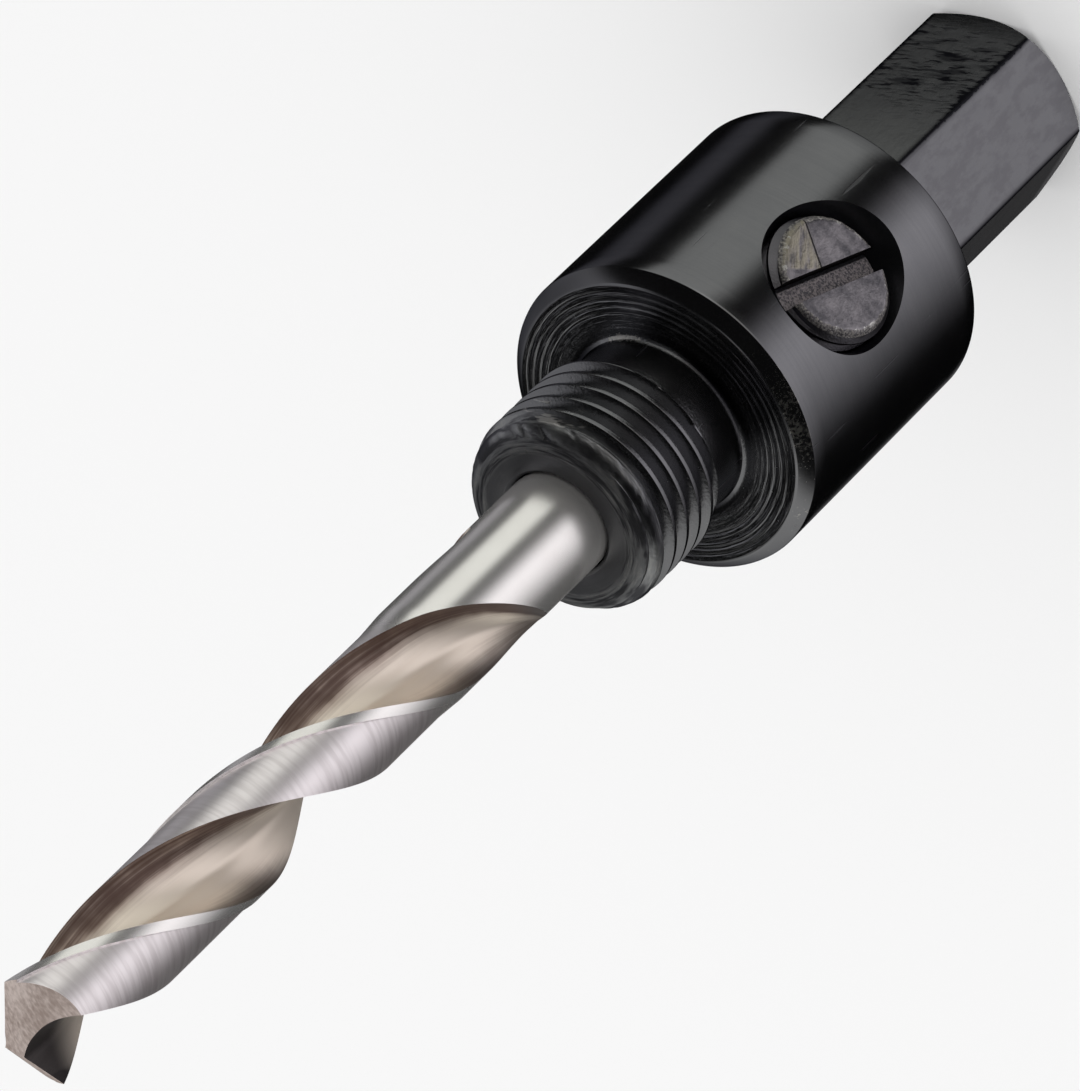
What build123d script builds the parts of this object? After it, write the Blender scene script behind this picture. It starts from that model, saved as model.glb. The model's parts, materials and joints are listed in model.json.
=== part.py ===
from build123d import *
from math import asin, atan2, cos, degrees, hypot, radians, sin, sqrt, tan
import os

# Hole saw arbor, millimetres, +Z up the axis toward the drill point.
# The origin is the centre of the hex shank's end face, on which the arbor stands.

# Lengths along the axis
SHANK_LEN = 18.8      # hex shank, end face to the back of the collar
COLLAR_LEN = 18.5     # round collar
NOSE_LEN = 10.6       # threaded nose, front of the collar to the nose end
DRILL_REACH = 51.2    # pilot drill point beyond the nose end

# Hex shank
SHANK_AF = 11.1       # across the flats, 7/16 inch
SHANK_TURN = -14.7    # direction of one corner, degrees from +X
SHANK_CHAMFER = 0.92  # turned chamfer on the corners at the free end

# Collar
COLLAR_DIA = 19.7
COLLAR_FRONT_CHAMFER = 0.75
COLLAR_BACK_CHAMFER = 0.3

# Nose for a 1/2 inch thread with 20 turns to the inch, drawn at the thread's crests
THREAD_CREST_DIA = 12.62
FLANK_ANGLE = 30.0    # the thread's first flank from square to the axis
NECK_DIA = 11.0       # plain relief between the collar and the thread
NECK_LEN = 3.1
NOSE_FACE_DIA = 9.4   # flat ring left at the nose end inside the rounding
NOSE_ROUND_LEN = 1.8

# Pilot drill, 1/4 inch
DRILL_DIA = 6.35
DRILL_FIT = 0.05      # radial clearance in the bore
DRILL_PAST_SCREW = 9.25  # its back end, at the bore's bottom, behind the screw's axis
DRILL_BACK_CHAMFER = 0.5
BORE_RIM_CHAMFER = 0.25
BORE_POINT_ANGLE = 118.0
FLUTE_LEAD = 40.5     # rise in one turn, right hand
LIP_TURN = -17.2      # direction of one outer lip corner at the point
LIP_OFFSET = 0.5      # each lip runs this far ahead of the axis
LIP_RISE = 0.146      # lip line above the point where it passes the axis, part of the offset
WEB_RADIUS = 0.58     # core left between the two flutes
FLUTE_ANGLE = 99.5    # flute opening from lip to heel
MARGIN_WIDTH = 0.66   # full-diameter strip behind each lip, around the drill
LAND_CLEARANCE = 0.14 # the land behind the margin is this much lower
RUNOUT_START = 15.6   # where the flutes begin to fade, from the nose end
RUNOUT_END = 4.6      # where they have left the surface, from the nose end
POINT_ANGLE = 118.0
POINT_RELIEF = 10.0   # fall of the point behind each lip
RELIEF_CONE = 28.0    # half angle of the cone each side of the point follows
RELIEF_APEX = 7.0     # how far past the axis that cone begins
FLAT_DEPTH = 0.4      # flat on the drill shank under the set screw
FLAT_LEN = 25.0       # its length from the back end

# Slotted set screw
SCREW_DIA = 8.0
SCREW_FIT = 0.06      # radial clearance to the tapped hole
SCREW_FROM_FRONT = 8.85  # its axis behind the front of the collar
SCREW_SUNK = 0.3      # outer face below the collar's crown
SCREW_RIM = 0.55      # chamfer round the slotted end
SCREW_TIP_DIA = 5.0
SLOT_WIDTH = 1.4
SLOT_DEPTH = 1.35
SLOT_TURN = 16.0      # slot from the arbor's axis, degrees
HOLE_MOUTH_DIA = 10.3 # countersunk mouth at the collar's crown
HOLE_MOUTH_ANGLE = 60.0
HOLE_FULL_TO = 3.0    # full diameter ends this far from the arbor's axis

COLLAR_BACK_Z = SHANK_LEN
COLLAR_FRONT_Z = SHANK_LEN + COLLAR_LEN
NOSE_Z = COLLAR_FRONT_Z + NOSE_LEN
SCREW_Z = COLLAR_FRONT_Z - SCREW_FROM_FRONT
DRILL_BACK_Z = SCREW_Z - DRILL_PAST_SCREW
TIP_Z = NOSE_Z + DRILL_REACH
COLLAR_R = COLLAR_DIA / 2
CREST_R = THREAD_CREST_DIA / 2
DRILL_R = DRILL_DIA / 2
BORE_R = DRILL_R + DRILL_FIT
FLAT_H = DRILL_R - FLAT_DEPTH
SCREW_TOP = COLLAR_R - SCREW_SUNK
TWIST = 360.0 / FLUTE_LEAD

LOFT_STEP = 20.0      # degrees of twist between the sections of a flute or land
RUNOUT_STEPS = 6
LAND_FADE = 2.0       # length over which the lands drop below the shank's diameter
MARGIN_AHEAD = 14.0   # degrees by which a margin strip reaches into the flute that trims it
OVERSHOOT = 0.8       # cutters start this far beyond the surface that they cut


def turned(points):
    """Solid of revolution about Z from an outline given as (radius, height)."""
    outline = Polyline(*[(r, 0, z) for r, z in points], close=True)
    return revolve(make_face(outline), Axis.Z)


def polar(r, angle):
    return (r * cos(radians(angle)), r * sin(radians(angle)))


def hex_shank():
    """Hexagonal bar whose free end is turned to a 45 degree chamfer."""
    corner_r = SHANK_AF / sqrt(3)
    into_collar = COLLAR_LEN / 2
    bar = extrude(RegularPolygon(corner_r, 6, rotation=SHANK_TURN), SHANK_LEN + into_collar)
    end_r = corner_r - SHANK_CHAMFER
    envelope = turned([(0, 0), (end_r, 0), (corner_r + 1, SHANK_CHAMFER + 1),
                       (corner_r + 1, SHANK_LEN + into_collar), (0, SHANK_LEN + into_collar)])
    return bar & envelope


def nose_rounding():
    """Rounded end of the nose as three tapers: a quarter ellipse from the thread to the end ring."""
    face_r = NOSE_FACE_DIA / 2
    return [(face_r + (CREST_R - face_r) * cos(radians(a)),
             NOSE_Z - NOSE_ROUND_LEN * (1 - sin(radians(a)))) for a in (0, 30, 60, 90)]


def collar_and_nose():
    """Collar, relief neck and thread blank turned in one outline."""
    neck_r = NECK_DIA / 2
    thread_z = COLLAR_FRONT_Z + NECK_LEN
    lead_in = (CREST_R - neck_r) * tan(radians(FLANK_ANGLE))
    front, back = COLLAR_FRONT_CHAMFER, COLLAR_BACK_CHAMFER
    outline = [(0, COLLAR_BACK_Z), (COLLAR_R - back, COLLAR_BACK_Z), (COLLAR_R, COLLAR_BACK_Z + back),
               (COLLAR_R, COLLAR_FRONT_Z - front), (COLLAR_R - front, COLLAR_FRONT_Z),
               (neck_r, COLLAR_FRONT_Z), (neck_r, thread_z), (CREST_R, thread_z + lead_in)]
    return turned(outline + nose_rounding() + [(0, NOSE_Z)])


def drill_bore():
    """Blind bore for the pilot drill, with a broken rim and a drilled bottom."""
    cone = BORE_R / tan(radians(BORE_POINT_ANGLE / 2))
    rim = BORE_RIM_CHAMFER
    return turned([(0, DRILL_BACK_Z - cone), (BORE_R, DRILL_BACK_Z), (BORE_R, NOSE_Z - rim),
                   (BORE_R + rim + 1, NOSE_Z + 1), (0, NOSE_Z + 1)])


def screw_frame():
    """Local frame of the set screw: its Z runs from the arbor's axis out to -Y."""
    return Plane(origin=(0, 0, SCREW_Z), x_dir=(1, 0, 0), z_dir=(0, -1, 0))


def screw_hole():
    """Tapped hole as its plain diameter, countersunk at the mouth."""
    r = SCREW_DIA / 2 + SCREW_FIT
    mouth_r = HOLE_MOUTH_DIA / 2
    out = COLLAR_R + 1
    cone = r / tan(radians(BORE_POINT_ANGLE / 2))
    slope = tan(radians(HOLE_MOUTH_ANGLE / 2))
    shape = turned([(0, HOLE_FULL_TO - cone), (r, HOLE_FULL_TO), (r, COLLAR_R - (mouth_r - r) / slope),
                    (mouth_r + (out - COLLAR_R) * slope, out), (0, out)])
    return screw_frame() * shape


def make_arbor_body():
    """Shank, collar and nose in one piece, bored from the nose and cross-drilled for the screw."""
    return hex_shank() + collar_and_nose() - drill_bore() - screw_hole()


def flute_points():
    """Flute in the plane of the lip corners; local X runs along the lip.

    The lip side follows the straight lip back down the twist, then the curve
    turns round the core and sweeps out to the heel."""
    cot_point = 1 / tan(radians(POINT_ANGLE / 2))
    corner = degrees(asin(LIP_OFFSET / DRILL_R))
    pts = [polar(DRILL_R + 0.4, corner + 0.5)]
    for share in (1.0, 0.8, 0.62, 0.46, 0.32):
        r = DRILL_R * share
        back = TWIST * (DRILL_R - r) * cot_point
        pts.append(polar(r, degrees(asin(LIP_OFFSET / r)) - back))
    heel = corner + FLUTE_ANGLE
    pts += [polar(WEB_RADIUS * 1.12, corner + 24), polar(WEB_RADIUS, corner + 52),
            polar(WEB_RADIUS * 1.25, heel - 17)]
    for share, lean in ((0.38, 1.0), (0.57, 6.0), (0.79, 4.0), (1.0, 0.0)):
        pts.append(polar(DRILL_R * share, heel + lean))
    pts.append(polar(DRILL_R + 0.4, heel - 2))
    return pts


def lip_direction(z):
    """Direction of the first lip's local X axis at height z."""
    corner = degrees(asin(LIP_OFFSET / DRILL_R))
    return LIP_TURN - corner + TWIST * (z - TIP_Z + lip_drop())


def lip_drop():
    """Height of the drill point above the outer lip corners."""
    lip_run = sqrt(DRILL_R ** 2 - LIP_OFFSET ** 2)
    return lip_run / tan(radians(POINT_ANGLE / 2)) - LIP_RISE * LIP_OFFSET


def flute_section(z, shift):
    """Cross-section of the flute cutter at height z, drawn outward by shift."""
    corner = degrees(asin(LIP_OFFSET / DRILL_R))
    out = polar(shift, corner + FLUTE_ANGLE / 2)
    pts = [(x + out[0], y + out[1]) for x, y in flute_points()]
    first, last = pts[0], pts[-1]
    middle = degrees(atan2(first[1] + last[1], first[0] + last[0]))
    top = polar(max(hypot(*first), hypot(*last)) + 0.6, middle)
    wire = Wire([Edge.make_spline([Vector(*p) for p in pts]),
                 Edge.make_three_point_arc(Vector(*last), Vector(*top), Vector(*first))])
    return Location((0, 0, z), (0, 0, lip_direction(z))) * wire


def flute_cutter():
    """One flute as a loft: full depth from the point down, then drawn out of the bar
    along the arc of a grinding wheel."""
    start, end = NOSE_Z + RUNOUT_START, NOSE_Z + RUNOUT_END
    wheel_r = (start - end) ** 2 / (2 * (DRILL_R - WEB_RADIUS + 0.25))
    above = TIP_Z + OVERSHOOT
    full_steps = round((above - start) * TWIST / LOFT_STEP)
    sections = [flute_section(above - (above - start) * i / full_steps, 0) for i in range(full_steps)]
    for i in range(RUNOUT_STEPS + 1):
        run = (start - end + OVERSHOOT) * i / RUNOUT_STEPS
        sections.append(flute_section(start - run, run ** 2 / (2 * wheel_r)))
    return Solid.make_loft(sections)


def margin_section(z):
    """Cross-section at height z of the strip that stays at full diameter behind one lip."""
    lip = degrees(asin(LIP_OFFSET / DRILL_R))
    back = lip - degrees(MARGIN_WIDTH / DRILL_R)
    corners = [polar(r, a) for a in (back, lip + MARGIN_AHEAD) for r in (DRILL_R * 0.8, DRILL_R * 1.15)]
    wire = Wire.make_polygon([Vector(*corners[i]) for i in (0, 1, 3, 2)], close=True)
    return Location((0, 0, z), (0, 0, lip_direction(z))) * wire


def fluted_blank():
    """Bar before its flutes are ground: shank at full diameter, then lands a little
    smaller, with a twisted strip at full diameter for the margin of each land."""
    back, top = DRILL_BACK_CHAMFER, TIP_Z + OVERSHOOT
    fade = NOSE_Z + RUNOUT_START - 2
    land_r = DRILL_R - LAND_CLEARANCE
    bar = turned([(0, DRILL_BACK_Z), (DRILL_R - back, DRILL_BACK_Z), (DRILL_R, DRILL_BACK_Z + back),
                  (DRILL_R, fade), (land_r, fade + LAND_FADE), (land_r, top), (0, top)])
    steps = round((top - fade) * TWIST / LOFT_STEP)
    strip = Solid.make_loft([margin_section(fade + (top - fade) * i / steps) for i in range(steps + 1)])
    strip &= Pos(0, 0, fade) * Cylinder(DRILL_R, top - fade, align=(Align.CENTER, Align.CENTER, Align.MIN))
    return bar + strip + strip.rotate(Axis.Z, 180)


def point_keeper():
    """Cone whose flank forms one side of the point, falling away behind its lip."""
    half = radians(POINT_ANGLE / 2)
    lip = Vector(sin(half), 0, -cos(half))
    normal = Vector(cos(half), -tan(radians(POINT_RELIEF)) * sin(half), sin(half)).normalized()
    k = radians(RELIEF_CONE)
    axis = lip * cos(k) - normal * sin(k)
    apex = Vector(0, LIP_OFFSET, TIP_Z + LIP_RISE * LIP_OFFSET) - lip * (RELIEF_APEX / sin(half))
    length = 26.0
    cone = Solid.make_cone(0, length * tan(k), length, plane=Plane(origin=apex, z_dir=axis))
    turn = lip_direction(TIP_Z - lip_drop())
    return cone.rotate(Axis.Z, turn)


def make_pilot_drill():
    """Straight shank with a flat, twisted flutes that run out below the shank, and a relieved point."""
    drill, flute, keeper = fluted_blank(), flute_cutter(), point_keeper()
    point_zone = Pos(0, 0, TIP_Z - 4.5) * Cylinder(DRILL_R + 2, 7, align=(Align.CENTER, Align.CENTER, Align.MIN))
    for turn in (0, 180):
        drill -= flute.rotate(Axis.Z, turn)
    for turn in (0, 180):
        drill -= point_zone - keeper.rotate(Axis.Z, turn)
    flat = Pos(0, -FLAT_H, DRILL_BACK_Z) * Box(DRILL_DIA, 2, FLAT_LEN,
                                               align=(Align.CENTER, Align.MAX, Align.MIN))
    return drill - flat


def make_set_screw():
    """Slotted headless screw: chamfered outer end, flat tip on the drill's flat."""
    r, tip_r = SCREW_DIA / 2, SCREW_TIP_DIA / 2
    shape = turned([(0, FLAT_H), (tip_r, FLAT_H), (r, FLAT_H + r - tip_r), (r, SCREW_TOP - SCREW_RIM),
                    (r - SCREW_RIM, SCREW_TOP), (0, SCREW_TOP)])
    slot = Pos(0, 0, SCREW_TOP) * Box(SLOT_WIDTH, SCREW_DIA + 2, 2 * SLOT_DEPTH)
    return screw_frame() * (shape - Rot(0, 0, -SLOT_TURN) * slot)


os.makedirs("parts", exist_ok=True)
for name, make in (("arbor_body", make_arbor_body), ("pilot_drill", make_pilot_drill),
                   ("set_screw", make_set_screw)):
    shape = make()
    export_step(shape, f"parts/{name}.step")
    print(name, round(shape.volume, 2), shape.is_valid, len(shape.solids()))
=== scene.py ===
# %% [markdown]
# A hole saw arbor in three pieces: a black steel body with a hex shank, a collar and a
# threaded nose, a ground pilot drill in its bore, and the slotted set screw that clamps it.
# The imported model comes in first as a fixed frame. Everything added here takes its place
# from that frame, so the looks can't drift away from the measured part.

# %% Load the frame
import bmesh
import bpy
import json
import math
import numpy as np
from mathutils import Matrix, Vector

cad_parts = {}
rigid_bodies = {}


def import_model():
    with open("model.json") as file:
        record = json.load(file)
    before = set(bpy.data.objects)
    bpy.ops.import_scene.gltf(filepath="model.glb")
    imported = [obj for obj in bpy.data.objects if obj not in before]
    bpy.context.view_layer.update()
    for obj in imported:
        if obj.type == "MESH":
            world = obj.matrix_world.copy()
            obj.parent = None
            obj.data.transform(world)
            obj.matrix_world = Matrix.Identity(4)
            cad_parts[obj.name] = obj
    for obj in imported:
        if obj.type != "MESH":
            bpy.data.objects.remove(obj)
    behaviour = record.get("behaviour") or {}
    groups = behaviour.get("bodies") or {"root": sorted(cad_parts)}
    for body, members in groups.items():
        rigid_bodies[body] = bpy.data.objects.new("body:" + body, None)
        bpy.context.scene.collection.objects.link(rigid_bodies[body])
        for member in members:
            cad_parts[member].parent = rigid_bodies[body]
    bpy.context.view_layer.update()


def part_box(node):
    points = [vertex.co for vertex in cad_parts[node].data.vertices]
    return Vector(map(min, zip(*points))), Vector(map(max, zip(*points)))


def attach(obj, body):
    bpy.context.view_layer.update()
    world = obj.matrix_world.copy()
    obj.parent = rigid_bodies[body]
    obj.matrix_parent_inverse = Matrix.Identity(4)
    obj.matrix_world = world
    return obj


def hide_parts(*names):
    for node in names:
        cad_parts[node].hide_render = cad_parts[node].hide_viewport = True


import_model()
MM = 0.001
_, body_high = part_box("arbor_body")
screw_low, screw_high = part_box("set_screw")
NOSE_Z = body_high.z / MM
COLLAR_R = body_high.x / MM
SCREW_Z = (screw_low.z + screw_high.z) / 2 / MM
print("nose ends at", round(NOSE_Z, 2), "mm, collar radius", round(COLLAR_R, 2), "mm")

# %% [markdown]
# The photograph looks down on the upright arbor from its screw side, with the camera rolled
# so that the drill points to the lower left. A long lens at about half a metre gives the
# slight taper along the tool. The angles follow from fitting the collar, the shank's corners
# and the drill's point.

# %% Camera
CAMERA_AZIMUTH = math.radians(5.7555)
CAMERA_ELEVATION = math.radians(41.1243)
CAMERA_ROLL = math.radians(-134.3256)
CAMERA_PLACE = Vector((32.879, -328.498, 338.052)) * MM
CAMERA_LENS = 263.797

back = Vector((math.sin(CAMERA_AZIMUTH) * math.cos(CAMERA_ELEVATION),
               -math.cos(CAMERA_AZIMUTH) * math.cos(CAMERA_ELEVATION),
               math.sin(CAMERA_ELEVATION)))
level = Vector((math.cos(CAMERA_AZIMUTH), math.sin(CAMERA_AZIMUTH), 0))
right = Matrix.Rotation(CAMERA_ROLL, 3, back) @ level
up = back.cross(right)
camera_data = bpy.data.cameras.new("camera")
camera_data.lens = CAMERA_LENS
camera_data.clip_start, camera_data.clip_end = 0.01, 20
camera = bpy.data.objects.new("camera", camera_data)
camera.matrix_world = Matrix((right, up, back)).transposed().to_4x4()
camera.location = CAMERA_PLACE
bpy.context.scene.collection.objects.link(camera)
bpy.context.scene.camera = camera
print("camera stands", round(CAMERA_PLACE.length, 3), "m from the shank's end")

# %% [markdown]
# Shader maths reads best as ordinary sums. This small class holds one socket of a node tree
# and turns +, -, * and / into Math nodes, and one method makes any other node.

# %% Sums on sockets
class Sock:
    """One output of a shader tree that can be used in a Python expression."""

    def __init__(self, tree, out):
        self.tree, self.out = tree, out

    def math(self, operation, *others):
        node = self.tree.nodes.new("ShaderNodeMath")
        node.operation = operation
        for slot, value in zip(node.inputs, (self, *others)):
            put(self.tree, slot, value)
        return Sock(self.tree, node.outputs[0])

    def __add__(self, other): return self.math("ADD", other)
    def __radd__(self, other): return self.math("ADD", other)
    def __sub__(self, other): return self.math("SUBTRACT", other)
    def __rsub__(self, other): return self.math("MULTIPLY", -1).math("ADD", other)
    def __mul__(self, other): return self.math("MULTIPLY", other)
    def __rmul__(self, other): return self.math("MULTIPLY", other)
    def __truediv__(self, other): return self.math("DIVIDE", other)

    def ramp(self, low, high):
        """0 below low and 1 above high, eased; low may be the larger."""
        node = self.tree.nodes.new("ShaderNodeMapRange")
        node.interpolation_type = "SMOOTHSTEP"
        put(self.tree, node.inputs["Value"], self)
        node.inputs["From Min"].default_value = low
        node.inputs["From Max"].default_value = high
        return Sock(self.tree, node.outputs[0])

    def band(self, low, high, soft, soft_high=None):
        """1 between low and high, with eased sides of the given widths."""
        last = soft if soft_high is None else soft_high
        rise = self.ramp(low - soft / 2, low + soft / 2)
        return rise * self.ramp(high + last / 2, high - last / 2)


def put(tree, slot, value):
    """Links a Sock to an input, or sets the input to a plain value."""
    if isinstance(value, Sock):
        tree.links.new(value.out, slot)
    else:
        slot.default_value = value


class Tree:
    """A node tree with one way to add any node: its type, its settings, then its inputs."""

    def __init__(self, tree):
        self.tree = tree
        tree.nodes.clear()

    def node(self, kind, settings=None, out=0, **inputs):
        node = self.tree.nodes.new("ShaderNode" + kind)
        for name, value in (settings or {}).items():
            setattr(node, name, value)
        for name, value in inputs.items():
            where = int(name[1:]) if name[1:].isdigit() else name.replace("_", " ")
            put(self.tree, node.inputs[where], value)
        return Sock(self.tree, node.outputs[out])

    def mix(self, first, second, share):
        """Two shaders, from all of the first at 0 to all of the second at 1."""
        return self.node("MixShader", i0=share, i1=first, i2=second)

    def blend(self, first, second, share):
        """Two colours, from all of the first at 0 to all of the second at 1."""
        return self.node("Mix", {"data_type": "RGBA"}, out=2, i0=share, i6=first, i7=second)

    def finish(self, kind, shader):
        end = self.tree.nodes.new("ShaderNodeOutput" + kind)
        self.tree.links.new(shader.out, end.inputs["Surface"])


# %% [markdown]
# Polished metal shows its surroundings more than its own colour. In the photograph two long
# boards, one lilac and one cream, stand beside the tool with a dark gap between them, and
# each round part repeats them as bands. Here a board is a soft patch of the world, placed by
# its angle round the tool from the camera and by its height. Two dimmer ones show on the
# parts that turn away. A low one stands in the gap, where only the slanting flutes mirror
# it. Two behind and one above keep the other sides from going black.

# %% Studio boards
BOARDS = [  # round the tool from, to, soft edges; height from, to, soft edge; strength; colour
    ((-66, -7, 84, 38), (-90, 8, 20), 1.00, (0.99, 0.965, 1.00)),
    ((29, 77, 16, 8), (-90, 8, 20), 0.74, (0.985, 1.00, 0.95)),
    ((105, 131, 16, 12), (-90, 8, 20), 0.26, (0.93, 0.92, 1.00)),
    ((-176, -162, 10, 10), (-90, 8, 20), 0.22, (1.00, 0.98, 1.00)),
    ((-2, 40, 22, 24), (-22, 12, 12), 0.75, (1.00, 0.97, 0.92)),
    ((-162, -108, 20, 20), (-22, 60, 12), 0.85, (1.00, 1.00, 0.97)),
    ((106, 160, 16, 16), (-22, 60, 12), 0.60, (0.97, 0.97, 1.00)),
    ((-200, 200, 1, 1), (84, 100, 8), 0.45, (1.00, 1.00, 1.00)),
]
GLOW = 0.014            # what the dark parts of the room still give
FLOOR_SKY = 0.95        # even light that reaches the floor, which has no bands to show

world = bpy.data.worlds.new("studio")
bpy.context.scene.world = world
world.use_nodes = True
world.cycles.sampling_method = "NONE"
room = Tree(world.node_tree)
to_camera = Vector((math.sin(CAMERA_AZIMUTH), -math.cos(CAMERA_AZIMUTH), 0))
beside = Vector((-to_camera.y, to_camera.x, 0))
ray = room.node("TexCoord", out="Generated")
ahead = room.node("VectorMath", {"operation": "DOT_PRODUCT"}, out="Value", i0=ray, i1=to_camera)
aside = room.node("VectorMath", {"operation": "DOT_PRODUCT"}, out="Value", i0=ray, i1=beside)
around = aside.math("ARCTAN2", ahead) * (180 / math.pi)
height = room.node("SeparateXYZ", out="Z", i0=ray).math("ARCSINE") * (180 / math.pi)
light = room.node("CombineColor", i0=GLOW, i1=GLOW, i2=GLOW)
for (start, end, soft, last), (low, high, fade), strength, colour in BOARDS:
    patch = around.band(start, end, soft, last) * height.band(low, high, fade) * strength
    tinted = room.node("VectorMath", {"operation": "SCALE"}, i0=colour, Scale=patch)
    light = room.node("VectorMath", {"operation": "ADD"}, i0=light, i1=tinted)
rays = room.node("LightPath", out="Is Diffuse Ray")
eye = Sock(room.tree, rays.out.node.outputs["Is Camera Ray"])
seen = room.node("Background", i0=light, Strength=1.0)
even = room.node("Background", i0=(1, 1, 1, 1), Strength=FLOOR_SKY)
plain = room.node("Background", i0=(1, 1, 1, 1), Strength=1.0)
room.finish("World", room.mix(room.mix(seen, even, rays), plain, eye))
print("boards:", len(BOARDS))

# %% [markdown]
# The floor is a plain pale sheet. A wide lamp overhead gives it a soft shadow. Neither shows
# in the steel, whose bands come from the boards alone.

# %% Floor and lamp
FLOOR_COLOUR = (0.93, 0.93, 0.93, 1)
LAMP_PLACE = Vector((-0.5, -0.35, 1.1))
LAMP_SIZE = 0.9
LAMP_POWER = 1.4
REACH = 3.0

floor_mesh = bpy.data.meshes.new("floor")
floor_mesh.from_pydata([(-REACH, -REACH, 0), (REACH, -REACH, 0), (REACH, REACH, 0),
                        (-REACH, REACH, 0)], [], [(0, 1, 2, 3)])
floor = bpy.data.objects.new("floor", floor_mesh)
bpy.context.scene.collection.objects.link(floor)
floor.visible_glossy = False
paper = bpy.data.materials.new("pale_floor")
paper.use_nodes = True
tree = Tree(paper.node_tree)
tree.finish("Material", tree.node("BsdfDiffuse", i0=FLOOR_COLOUR))
floor_mesh.materials.append(paper)

lamp_data = bpy.data.lights.new("overhead", "AREA")
lamp_data.energy = LAMP_POWER
lamp_data.size = LAMP_SIZE
lamp = bpy.data.objects.new("overhead", lamp_data)
lamp.location = LAMP_PLACE
lamp.rotation_euler = LAMP_PLACE.to_track_quat("Z", "Y").to_euler()
lamp.visible_glossy = False
bpy.context.scene.collection.objects.link(lamp)
bpy.context.scene.view_settings.view_transform = "Standard"

# %% [markdown]
# The body is one turned piece of black steel with a milled hex end, so it is made like a
# lathe's work: rings of points up the axis, joined by strips. Each ring may change its
# radius and height round the turn, which lets a strip follow the thread's helix, or the
# curved edge that a turned chamfer leaves on a hexagon, exactly.

# %% Rings and strips
class Rings:
    """Rings of points round an axis, in order along the skin, that become one closed mesh."""

    def __init__(self, angles):
        self.angles = angles
        self.points, self.wear, self.across, self.climb, self.kind = [], [], [], [], []

    def place(self, x, y, z, wear=0.0, across=0.0, climb=0, kind=0):
        """A ring at given points. Kind marks the faces between it and the ring after it."""
        ones = np.ones_like(self.angles)
        self.points.append(np.stack([x * ones, y * ones, z * ones], -1))
        self.wear.append(wear * ones)
        self.across.append(across * ones)
        self.kind.append(kind * ones)
        self.climb.append(climb)

    def add(self, radius, height, wear=0.0, climb=0, kind=0):
        self.place(radius * np.cos(self.angles), radius * np.sin(self.angles), height,
                   wear, climb=climb, kind=kind)

    def line(self, points, wear=0.0, kind=0):
        for radius, height in points:
            self.add(radius, height, wear, kind=kind)

    def thread(self, shares, pitch, start, low, high, radius_at):
        """Rings that rise one pitch in a turn, held between the heights low and high.

        shares are the places of the rings within a pitch, and start is the height of a
        groove's middle at angle 0. radius_at takes heights and distances from the groove."""
        turn = self.angles / (2 * math.pi) * pitch
        first = start - pitch * math.ceil((start + turn.max() - low) / pitch + 1)
        count = math.ceil((high - first - turn.min()) / pitch) + 1
        for step in range(count):
            for share in shares:
                climbs = first + pitch * (step + share) + turn
                height = np.clip(climbs, low, high)
                away = (height - turn - start + pitch / 2) % pitch - pitch / 2
                climb = len(shares) if step < count - 1 else 0
                self.add(radius_at(height, away), height, climb=climb)

    def build(self, name, cap=False):
        """The mesh object, in metres. Cap closes the last ring with one flat face."""
        rows, columns = len(self.points), len(self.angles)
        index = np.arange(rows * columns).reshape(rows, columns)
        strips = np.stack([index[:-1, :-1], index[:-1, 1:], index[1:, 1:], index[1:, :-1]], -1)
        faces = strips.reshape(-1, 4).tolist()
        kinds = np.array(self.kind)[:-1, :-1].reshape(-1).tolist()
        for row in range(rows - 1):
            up_one, up_two = row + self.climb[row], row + 1 + self.climb[row + 1]
            faces.append([index[row, -1], index[up_one, 0], index[up_two, 0], index[row + 1, -1]])
            kinds.append(self.kind[row][-1])
        if cap:
            faces.append(index[-1].tolist())
            kinds.append(0)
        mesh = bpy.data.meshes.new(name)
        mesh.from_pydata((np.concatenate(self.points) * MM).tolist(), [], faces)
        for label, domain, values in (("wear", "POINT", np.concatenate(self.wear)),
                                      ("across", "POINT", np.concatenate(self.across)),
                                      ("kind", "FACE", np.array(kinds))):
            stored = mesh.attributes.new(label, "FLOAT", domain)
            stored.data.foreach_set("value", values.astype(np.float32))
        weld(mesh)
        piece = bpy.data.objects.new(name, mesh)
        bpy.context.scene.collection.objects.link(piece)
        return piece


def weld(mesh, gap=2e-7):
    """Joins points that coincide, drops faces without area and turns all faces outward."""
    work = bmesh.new()
    work.from_mesh(mesh)
    bmesh.ops.remove_doubles(work, verts=work.verts, dist=gap)
    bmesh.ops.dissolve_degenerate(work, dist=gap, edges=work.edges)
    bmesh.ops.recalc_face_normals(work, faces=work.faces)
    open_edges = sum(1 for edge in work.edges if len(edge.link_faces) != 2)
    work.to_mesh(mesh)
    work.free()
    print(mesh.name, len(mesh.polygons), "faces,", open_edges, "open edges")


# %% [markdown]
# The hexagon's sides are flat, so a ring's radius there is the distance to the nearest flat
# along each direction, and a small arc rounds each corner. Rings stand closer at the
# corners, where a few hundredths of a millimetre decide how the edge catches the light.

# %% Hexagon and its directions
HEX_AF = 11.1
HEX_TURN = math.radians(-14.7)
HEX_EDGE = 0.1              # corner rounding
CRUST_SPREAD = 0.028        # radians each side of a corner
SIDE = math.pi / 3

near = np.array([0.2, 0.4, 0.58, 1.3, 2.6])            # degrees from a corner
half = np.concatenate([near, np.linspace(4, 30, 23)])
sector = np.concatenate([-half[::-1], [0], half[:-1]])
body_angles = np.concatenate([HEX_TURN + SIDE * k + np.radians(sector) for k in range(6)])


def off_corner(angles):
    """Angle from the nearest corner, in radians."""
    return (angles - HEX_TURN + SIDE / 2) % SIDE - SIDE / 2


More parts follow.
